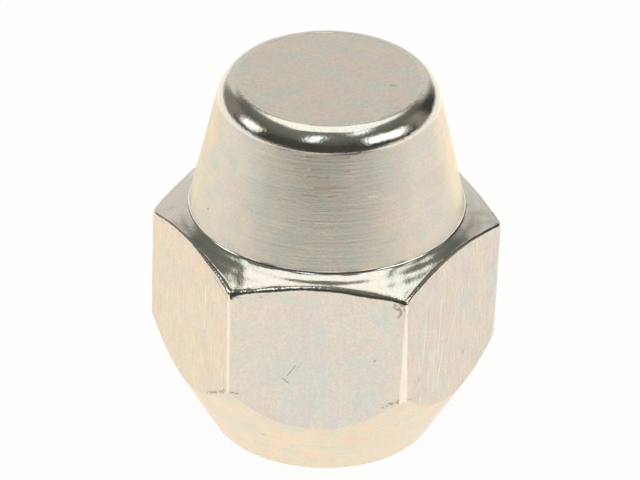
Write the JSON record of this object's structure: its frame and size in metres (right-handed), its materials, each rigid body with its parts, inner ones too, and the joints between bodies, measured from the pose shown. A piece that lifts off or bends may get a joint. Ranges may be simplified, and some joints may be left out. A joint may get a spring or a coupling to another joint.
{
  "type": "lug nut",
  "caption": "Closed-end wheel lug nut in bright plated steel: a hexagon for a socket, a threaded conical seat below and a tapered, flat-topped cap above.",
  "frame": {"origin": "centre of the seat's small end, the flat ring around the threaded mouth", "axes": "+Z along the nut's axis, from the threaded mouth towards the closed cap; one flat of the hexagon faces -Y and two corners lie on the X axis"},
  "size_m": [0.024, 0.021, 0.0268],
  "materials": {
    "plated_steel": "bright zinc-nickel plating over forged and turned steel, satin on the flats and the cone, brighter on the crown, with fine turning lines and light handling scratches"
  },
  "bodies": {
    "root": {"lug_nut": "plated_steel"}
  },
  "joints": []
}
